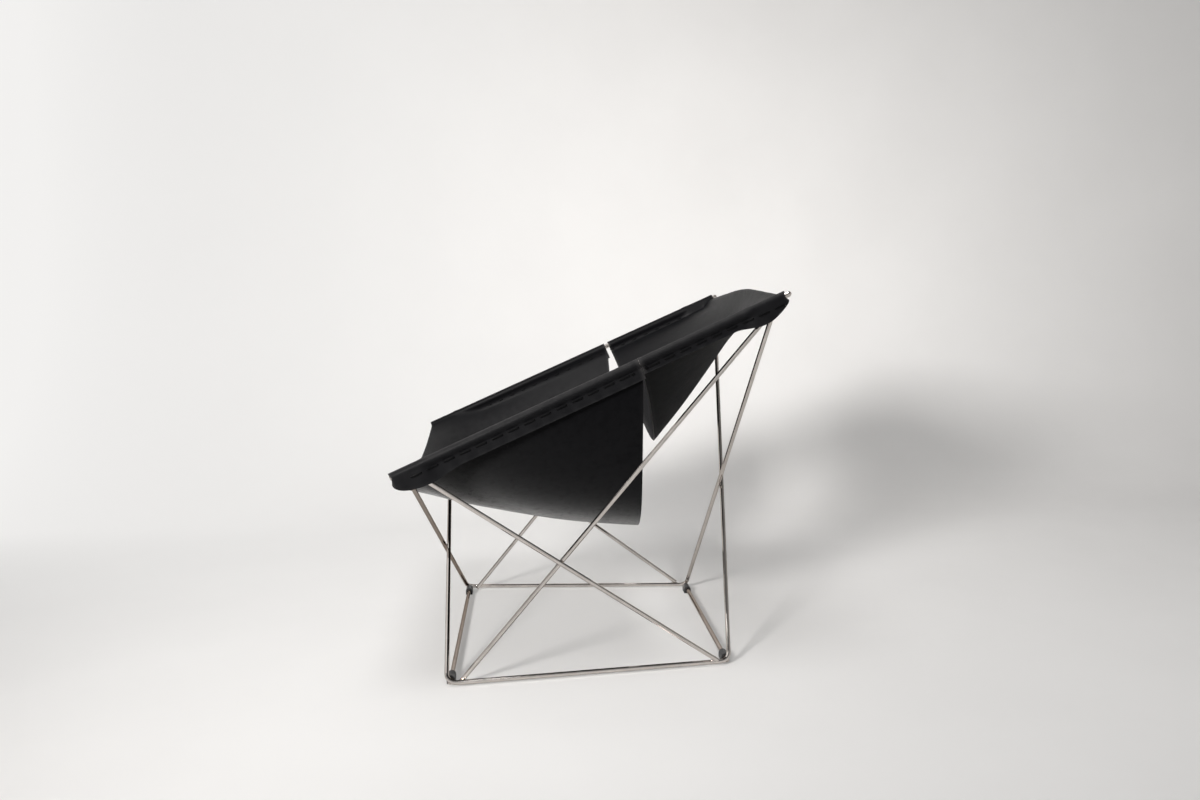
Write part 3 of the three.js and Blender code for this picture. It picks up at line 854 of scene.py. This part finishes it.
FILLET_STEPS = 16
FILLET_POINTS = 12
FILLET_FULLNESS = 0.7
FILLET_RIPPLE = 0.06
FILLET_RIPPLES = 9
FILLET_LENGTH = 0.015
FILLET_HEIGHT = 0.0046
FILLET_WIDTH = 0.0032
FILLET_OUT = 0.00415
FILLET_LIFT = 0.0006
RING_STEPS = 32
RING_POINTS = 8
RING_BEAD = 0.0009
RING_RIPPLE = 0.08
RING_RIPPLES = 8
RING_SINK = 0.0002
RING_INSET = 0.0043


def base_corner(side, end):
    half, y = (BASE_FRONT_HALF, -BASE_DEPTH / 2) if end == "front" else (BASE_REAR_HALF, BASE_DEPTH / 2)
    return Vector((side * half, y + shift_y, ROD_HEIGHT))


def weld_fillet(bm, centre, along, across):
    """A bead that fills the groove between two rods that touch side by side."""
    up = along.cross(across).normalized()
    rows = []
    for i in range(FILLET_STEPS + 1):
        t = -1 + 2 * i / FILLET_STEPS
        ripple = 1 + FILLET_RIPPLE * math.sin(FILLET_RIPPLES * math.pi * t)
        swell = math.sqrt(max(0.0, 1 - t * t)) ** FILLET_FULLNESS * ripple
        middle = centre + along * (t * FILLET_LENGTH / 2)
        rows.append([middle + across * (math.cos(a) * FILLET_WIDTH / 2 * swell)
                     + up * (math.sin(a) * FILLET_HEIGHT / 2 * swell)
                     for a in circle_angles(FILLET_POINTS)])
    add_grid(bm, rows, closed=True)


def weld_ring(bm, centre, axis, radius):
    """A bead round the end of a rod where it meets another."""
    side = axis.orthogonal().normalized()
    other = axis.cross(side).normalized()
    rows = []
    for a in circle_angles(RING_STEPS):
        out = side * math.cos(a) + other * math.sin(a)
        size = RING_BEAD * (1 + RING_RIPPLE * math.sin(RING_RIPPLES * a))
        rows.append([centre + out * (radius + size * math.cos(b)) + axis * (size * math.sin(b))
                     for b in circle_angles(RING_POINTS)])
    rows.append(rows[0])
    add_grid(bm, rows, closed=True)


def build_welds():
    bm = bmesh.new()
    for side, _ in SIDES:
        front = base_corner(side, "front")
        rear = base_corner(side, "rear")
        run = (rear - front).normalized()
        out = Vector((side * abs(run.y), -side * run.x, 0)).normalized()
        for corner, sign, inset in ((front, 1, FRONT_BAR_INSET), (rear, -1, REAR_BAR_INSET)):
            y = corner.y + sign * inset
            x = corner.x + (rear.x - front.x) * (y - corner.y) / (rear.y - front.y)
            centre = Vector((x - side * RING_INSET, y, ROD_HEIGHT))
            weld_ring(bm, centre, Vector((1, 0, 0)), ROD_RADIUS - RING_SINK)
        weld_fillet(bm, front + run * BRACE_FOOT_INSET - out * FILLET_OUT + UP * FILLET_LIFT, run, out)
        away = out * math.sin(SEAT_BRACE_WELD_ANGLE) + UP * math.cos(SEAT_BRACE_WELD_ANGLE)
        weld_fillet(bm, rear - run * BRACE_FOOT_INSET + away * FILLET_OUT, run, away)
    join_points(bm)
    return make_object("frame_weld_beads", bm, STEEL)


welds = build_welds()
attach(welds, "root")

# Studio: pale floor that sweeps up behind, soft lamps and the photograph's view
FLOOR_FRONT = 5.0
FLOOR_MIDDLE = 0.8
BEND_START = -1.0
BEND_RADIUS = 1.0
BEND_STEPS = 24
WALL_TOP = 4.5
PAPER_ROWS = (-7, -3, 0, 3, 7)
PAPER_DROP = 0.0002


def build_backdrop():
    bm = bmesh.new()
    profile = [(FLOOR_FRONT, 0.0), (FLOOR_MIDDLE, 0.0), (BEND_START, 0.0)]
    for i in range(1, BEND_STEPS + 1):
        a = math.pi / 2 * i / BEND_STEPS
        profile.append((BEND_START - BEND_RADIUS * math.sin(a), BEND_RADIUS * (1 - math.cos(a))))
    profile.append((BEND_START - BEND_RADIUS, WALL_TOP))
    add_grid(bm, [[Vector((x, y, z - PAPER_DROP)) for x, z in profile] for y in PAPER_ROWS])
    return make_object("studio_backdrop", bm, paper_material())


# How the paper's places become ramps: across and into the depth of the set, and out from its middle
ACROSS_SCALE, ACROSS_SHIFT = 0.125, 0.5
DEEP_SCALE, DEEP_SHIFT = -0.6, 0.35
MIDDLE_BACK = 0.6
REACH_SCALE = 0.15


def paper_material():
    """Pale paper, brighter to the eye and in reflections than the lamps alone make it."""
    m = new_nodes("pale_seamless_paper")
    cloud = m.noise(scale=2.5, detail=4, rough=0.5)
    tone = m.ramp(cloud, (0.3, (0.80, 0.79, 0.78)), (0.7, (0.83, 0.82, 0.81)))
    tooth = m.bump(m.noise(scale=420, detail=3, rough=0.6), distance=0.0004, strength=0.2)
    m.set(Base_Color=tone, Roughness=0.9, Normal=tooth, Specular_IOR_Level=0.2)
    place = m.parts(m.coords)
    across = m.math("MULTIPLY_ADD", place["Y"], ACROSS_SCALE, ACROSS_SHIFT)
    deep = m.math("MULTIPLY_ADD", place["X"], DEEP_SCALE, DEEP_SHIFT)
    deep = m.ramp(deep, (0.0, 0.0), (1.0, 1.0))
    # The glow's share paints light on the paper: strong on the left wall, low on the right where the
    # chair's shadow falls, which deepens that shadow, and rising over the far floor
    wall = m.ramp(across, (0.05, 0.7), (0.2, 0.86), (0.26, 0.84), (0.4, 0.5), (0.5, 0.2),
                  (0.58, 0.05), (0.7, 0.12), (0.84, 0.14), (1.0, 0.7))
    floor = m.ramp(across, (0.25, 0.08), (0.5, 0.2), (0.85, 0.22))
    depth_squared = m.math("POWER", m.math("ADD", place["X"], MIDDLE_BACK), 2.0)
    width_squared = m.math("POWER", place["Y"], 2.0)
    reach = m.math("SQRT", m.math("ADD", depth_squared, width_squared))
    far = m.ramp(m.math("MULTIPLY", reach, REACH_SCALE), (0.24, 0.0), (0.5, 0.72))
    share = m.mix(deep, m.math("MAXIMUM", floor, far), wall)
    glow = m.add("Emission")
    glow.inputs["Color"].default_value = (1.0, 0.99, 0.975, 1)
    blend = m.add("MixShader")
    m.link(m.math("MULTIPLY", m.seen(), share), blend.inputs[0])
    m.link(m.shader.outputs[0], blend.inputs[1])
    m.link(glow.outputs[0], blend.inputs[2])
    m.link(blend.outputs[0], m.tree.nodes["Material Output"].inputs["Surface"])
    return m.owner


build_backdrop()


def lamp(name, place, target, size, power, colour=(1, 1, 1), spread=180):
    data = bpy.data.lights.new(name, "AREA")
    data.shape = "RECTANGLE"
    data.size, data.size_y = size
    data.energy = power
    data.color = colour
    data.spread = math.radians(spread)
    obj = bpy.data.objects.new(name, data)
    obj.location = place
    obj.rotation_euler = (Vector(target) - Vector(place)).to_track_quat("-Z", "Y").to_euler()
    bpy.context.scene.collection.objects.link(obj)


lamp("key", place=(0.9, -0.2, 2.6), target=(0, 0, 0.3), size=(0.9, 0.9), power=21)
lamp("front", place=(2.6, -1.7, 1.4), target=(-0.9, 0.4, 0.75), size=(0.6, 0.6), power=27,
     colour=(1.0, 0.985, 0.965), spread=66)
lamp("wall", place=(-0.6, -0.8, 3.0), target=(-1.6, -0.3, 0.6), size=(2.4, 1.6), power=10)

ROOM_STRENGTH = 0.15
HORIZON_STRENGTH = 0.55


def build_world():
    """A dim plain room, with a pale band round the horizon for the eye and for reflections."""
    world = bpy.data.worlds.new("studio")
    m = Nodes(world, shader="Background", coords="Generated")
    height = m.math("MULTIPLY_ADD", m.parts(m.coords)["Z"], 0.5, 0.5)
    band = m.ramp(height, (0.30, 0.0), (0.38, 1.0), (0.62, 1.0), (0.76, 0.0))
    shown = m.math("MULTIPLY", m.seen(), band)
    strength = m.math("MULTIPLY_ADD", shown, HORIZON_STRENGTH, ROOM_STRENGTH)
    m.set(Color=(1, 0.99, 0.98, 1), Strength=strength)
    bpy.context.scene.world = world


build_world()

CAMERA_PLACE = Vector((2.016, -0.0944 + shift_y, 0.6526))
CAMERA_TURN = 1.5026
CAMERA_TILT = 0.0947
CAMERA_ROLL = -0.018
CAMERA_SENSOR = 36
CAMERA_LENS = 30.6


def build_camera():
    level = math.cos(CAMERA_TILT)
    ahead = Vector((-math.sin(CAMERA_TURN) * level, math.cos(CAMERA_TURN) * level, -math.sin(CAMERA_TILT)))
    flat_right = ahead.cross(UP).normalized()
    flat_up = flat_right.cross(ahead)
    right = flat_right * math.cos(CAMERA_ROLL) + flat_up * math.sin(CAMERA_ROLL)
    up = flat_up * math.cos(CAMERA_ROLL) - flat_right * math.sin(CAMERA_ROLL)
    data = bpy.data.cameras.new("photo_view")
    data.sensor_width = CAMERA_SENSOR
    data.lens = CAMERA_LENS
    obj = bpy.data.objects.new("photo_view", data)
    turn = Matrix((right, up, -ahead)).transposed()
    obj.matrix_world = Matrix.Translation(CAMERA_PLACE) @ turn.to_4x4()
    bpy.context.scene.collection.objects.link(obj)
    bpy.context.scene.camera = obj


build_camera()
bpy.context.scene.view_settings.view_transform = "Standard"
